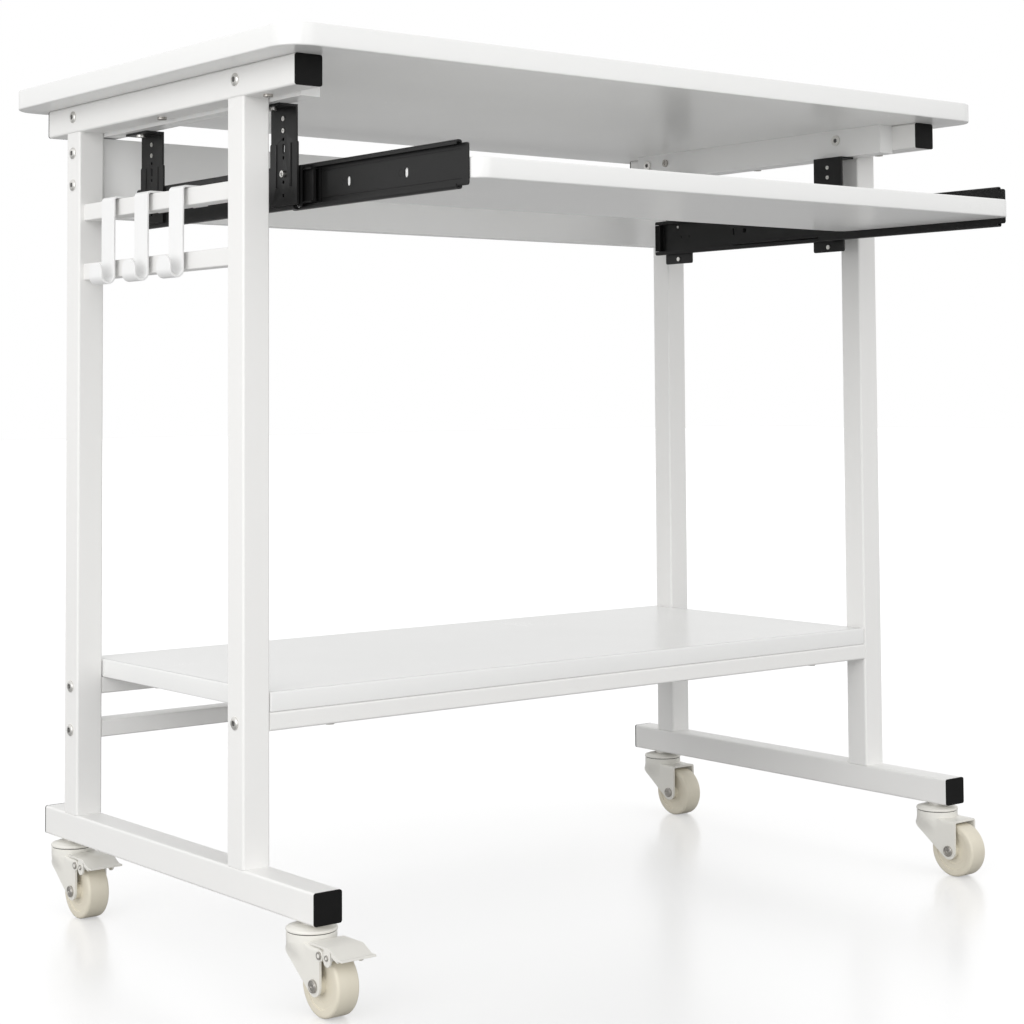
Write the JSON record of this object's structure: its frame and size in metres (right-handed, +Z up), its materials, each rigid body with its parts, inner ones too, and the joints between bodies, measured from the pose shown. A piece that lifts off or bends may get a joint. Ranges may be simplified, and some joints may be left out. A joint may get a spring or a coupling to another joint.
{
  "type": "mobile laptop table",
  "caption": "Rolling steel-framed work table with a laminated top, lower shelf, pull-out keyboard tray on telescopic slides, side rails with loose strap hooks and braked casters.",
  "frame": {"origin": "on the floor, under the centre of the whole with its tray pulled out: midway between the sides, 50 mm ahead of the middle of the feet", "axes": "+X to the right as seen from the front, +Y towards the rear, away from the user at the tray, +Z up"},
  "size_m": [0.808, 0.594, 0.75],
  "materials": {
    "white_laminate": "smooth white melamine laminate with edge banding",
    "white_powder_coat": "slightly warm white powder coat, satin",
    "black_plastic": "black moulded plastic",
    "black_enamel": "black enamelled steel, satin",
    "zinc_steel": "zinc-plated steel",
    "bright_steel": "bright plated spring steel",
    "ball_steel": "polished bearing steel",
    "hook_white": "white enamelled strap steel",
    "cream_nylon": "cream moulded nylon",
    "putty_enamel": "pale grey-beige enamelled pressed steel"
  },
  "bodies": {
    "frame": {"tabletop": "white_laminate", "left_top_tube": "white_powder_coat", "right_top_tube": "white_powder_coat", "left_front_upright": "white_powder_coat", "left_rear_upright": "white_powder_coat", "right_front_upright": "white_powder_coat", "right_rear_upright": "white_powder_coat", "left_foot_tube": "white_powder_coat", "right_foot_tube": "white_powder_coat", "tube_end_caps": "black_plastic", "rear_panel": "white_laminate", "upper_hook_rail": "white_powder_coat", "lower_hook_rail": "white_powder_coat", "shelf_board": "white_laminate", "shelf_front_beam": "white_powder_coat", "shelf_rear_beam": "white_powder_coat", "rear_crossbar": "white_powder_coat", "left_batten": "white_laminate", "right_batten": "white_laminate", "frame_bolts": "zinc_steel", "board_screws": "zinc_steel", "left_front_bracket": "black_enamel", "left_rear_bracket": "black_enamel", "right_front_bracket": "black_enamel", "right_rear_bracket": "black_enamel", "bracket_screws": "zinc_steel", "left_slide_base": "black_enamel", "right_slide_base": "black_enamel", "slide_latches": "black_enamel", "slide_bumpers": "black_plastic", "caster_stems": "putty_enamel"},
    "tray": {"tray_board": "white_laminate", "left_slide_runner": "black_enamel", "right_slide_runner": "black_enamel", "tray_screws": "black_enamel"},
    "slide_middles": {"left_slide_middle": "black_enamel", "right_slide_middle": "black_enamel"},
    "base_retainers": {"base_cages": "black_enamel", "base_balls": "ball_steel"},
    "runner_retainers": {"runner_cages": "black_enamel", "runner_balls": "ball_steel"},
    "rear_hook": {"rear_hook": "hook_white"},
    "middle_hook": {"middle_hook": "hook_white"},
    "front_hook": {"front_hook": "hook_white"},
    "left_front_caster": {"left_front_fork": "putty_enamel", "left_front_axle": "zinc_steel"},
    "left_front_wheel": {"left_front_wheel": "cream_nylon"},
    "left_front_pedal": {"left_front_pedal": "putty_enamel"},
    "left_rear_caster": {"left_rear_fork": "putty_enamel", "left_rear_axle": "zinc_steel"},
    "left_rear_wheel": {"left_rear_wheel": "cream_nylon"},
    "left_rear_pedal": {"left_rear_pedal": "putty_enamel"},
    "right_front_caster": {"right_front_fork": "putty_enamel", "right_front_axle": "zinc_steel"},
    "right_front_wheel": {"right_front_wheel": "cream_nylon"},
    "right_rear_caster": {"right_rear_fork": "putty_enamel", "right_rear_axle": "zinc_steel"},
    "right_rear_wheel": {"right_rear_wheel": "cream_nylon"}
  },
  "joints": [
    {"name": "tray_slide", "type": "slide", "parent": "frame", "child": "tray", "axis": [0, 1, 0], "range_m": [-0.01, 0.22]},
    {"name": "middle_slide", "type": "slide", "parent": "frame", "child": "slide_middles", "axis": [0, 1, 0], "range_m": [-0.005, 0.11]},
    {"name": "base_retainer_slide", "type": "slide", "parent": "frame", "child": "base_retainers", "axis": [0, 1, 0], "range_m": [-0.0025, 0.055]},
    {"name": "runner_retainer_slide", "type": "slide", "parent": "frame", "child": "runner_retainers", "axis": [0, 1, 0], "range_m": [-0.0075, 0.165]},
    {"name": "rear_hook_slide", "type": "slide", "parent": "frame", "child": "rear_hook", "axis": [0, 1, 0], "range_m": [-0.018, 0.044]},
    {"name": "middle_hook_slide", "type": "slide", "parent": "frame", "child": "middle_hook", "axis": [0, 1, 0], "range_m": [-0.018, 0.018]},
    {"name": "front_hook_slide", "type": "slide", "parent": "frame", "child": "front_hook", "axis": [0, 1, 0], "range_m": [-0.07, 0.018]},
    {"name": "left_front_swivel", "type": "hinge", "parent": "frame", "child": "left_front_caster", "pos_m": [-0.3625, -0.152, 0.06], "axis": [0, 0, 1], "continuous": true},
    {"name": "left_front_roll", "type": "hinge", "parent": "left_front_caster", "child": "left_front_wheel", "pos_m": [-0.3625, -0.178, 0.025], "axis": [1, 0, 0], "continuous": true},
    {"name": "left_front_brake", "type": "hinge", "parent": "left_front_caster", "child": "left_front_pedal", "pos_m": [-0.3625, -0.1859, 0.049], "axis": [1, 0, 0], "range_deg": [0, 10]},
    {"name": "left_rear_swivel", "type": "hinge", "parent": "frame", "child": "left_rear_caster", "pos_m": [-0.3625, 0.243, 0.06], "axis": [0, 0, 1], "continuous": true},
    {"name": "left_rear_roll", "type": "hinge", "parent": "left_rear_caster", "child": "left_rear_wheel", "pos_m": [-0.3625, 0.217, 0.025], "axis": [1, 0, 0], "continuous": true},
    {"name": "left_rear_brake", "type": "hinge", "parent": "left_rear_caster", "child": "left_rear_pedal", "pos_m": [-0.3625, 0.2091, 0.049], "axis": [1, 0, 0], "range_deg": [0, 10]},
    {"name": "right_front_swivel", "type": "hinge", "parent": "frame", "child": "right_front_caster", "pos_m": [0.3625, -0.152, 0.06], "axis": [0, 0, 1], "continuous": true},
    {"name": "right_front_roll", "type": "hinge", "parent": "right_front_caster", "child": "right_front_wheel", "pos_m": [0.3625, -0.178, 0.025], "axis": [1, 0, 0], "continuous": true},
    {"name": "right_rear_swivel", "type": "hinge", "parent": "frame", "child": "right_rear_caster", "pos_m": [0.3625, 0.243, 0.06], "axis": [0, 0, 1], "continuous": true},
    {"name": "right_rear_roll", "type": "hinge", "parent": "right_rear_caster", "child": "right_rear_wheel", "pos_m": [0.3625, 0.217, 0.025], "axis": [1, 0, 0], "continuous": true}
  ],
  "couplings": [
    {"joint": "middle_slide", "follows": "tray_slide", "ratio": 0.5},
    {"joint": "base_retainer_slide", "follows": "tray_slide", "ratio": 0.25},
    {"joint": "runner_retainer_slide", "follows": "tray_slide", "ratio": 0.75}
  ]
}
